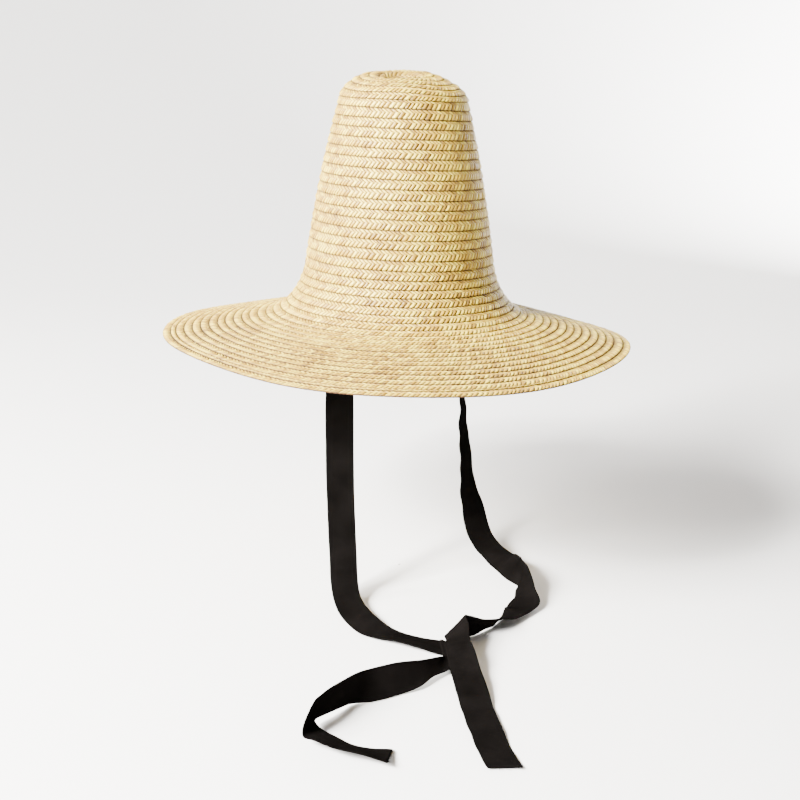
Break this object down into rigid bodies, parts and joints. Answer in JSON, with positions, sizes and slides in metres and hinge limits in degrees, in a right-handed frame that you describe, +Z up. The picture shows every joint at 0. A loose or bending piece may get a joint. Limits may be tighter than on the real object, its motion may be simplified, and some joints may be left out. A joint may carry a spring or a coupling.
{
  "type": "tall-crowned straw sun hat",
  "caption": "Tall cone-crowned hat of spiral-sewn straw plait with a wide drooping brim, a sweatband and two long flat tape ties.",
  "frame": {"origin": "centre of the head opening, level with the sweatband's lower edge", "axes": "+Z up the crown's axis, -Y the front, -X the left tie and +X the right tie"},
  "size_m": [0.5276, 0.5067, 0.484],
  "materials": {
    "straw": "natural wheat straw plait, glossy",
    "straw_edge": "natural wheat straw plait, doubled",
    "thread": "cotton sewing thread",
    "band": "matte ribbed cotton band",
    "tape": "matte woven cotton tape",
    "tack_thread": "cotton sewing thread"
  },
  "bodies": {
    "hat": {"tip_button": "straw", "crown_tip": "straw", "crown_side": "straw", "crown_flare": "straw", "brim": "straw", "brim_edge_row": "straw_edge", "plait_tail": "straw_edge", "row_stitching": "thread", "sweatband": "band", "sweatband_stitching": "thread", "left_tie_tab": "tape", "right_tie_tab": "tape", "left_tie_tack": "tack_thread", "right_tie_tack": "tack_thread"},
    "chin_ties": {"left_tie": "tape", "right_tie": "tape"}
  },
  "joints": [
    {"name": "ties_swing", "type": "hinge", "parent": "hat", "child": "chin_ties", "pos_m": [0, 0, 0.003], "axis": [1, 0, 0], "range_deg": [-30, 60]}
  ]
}
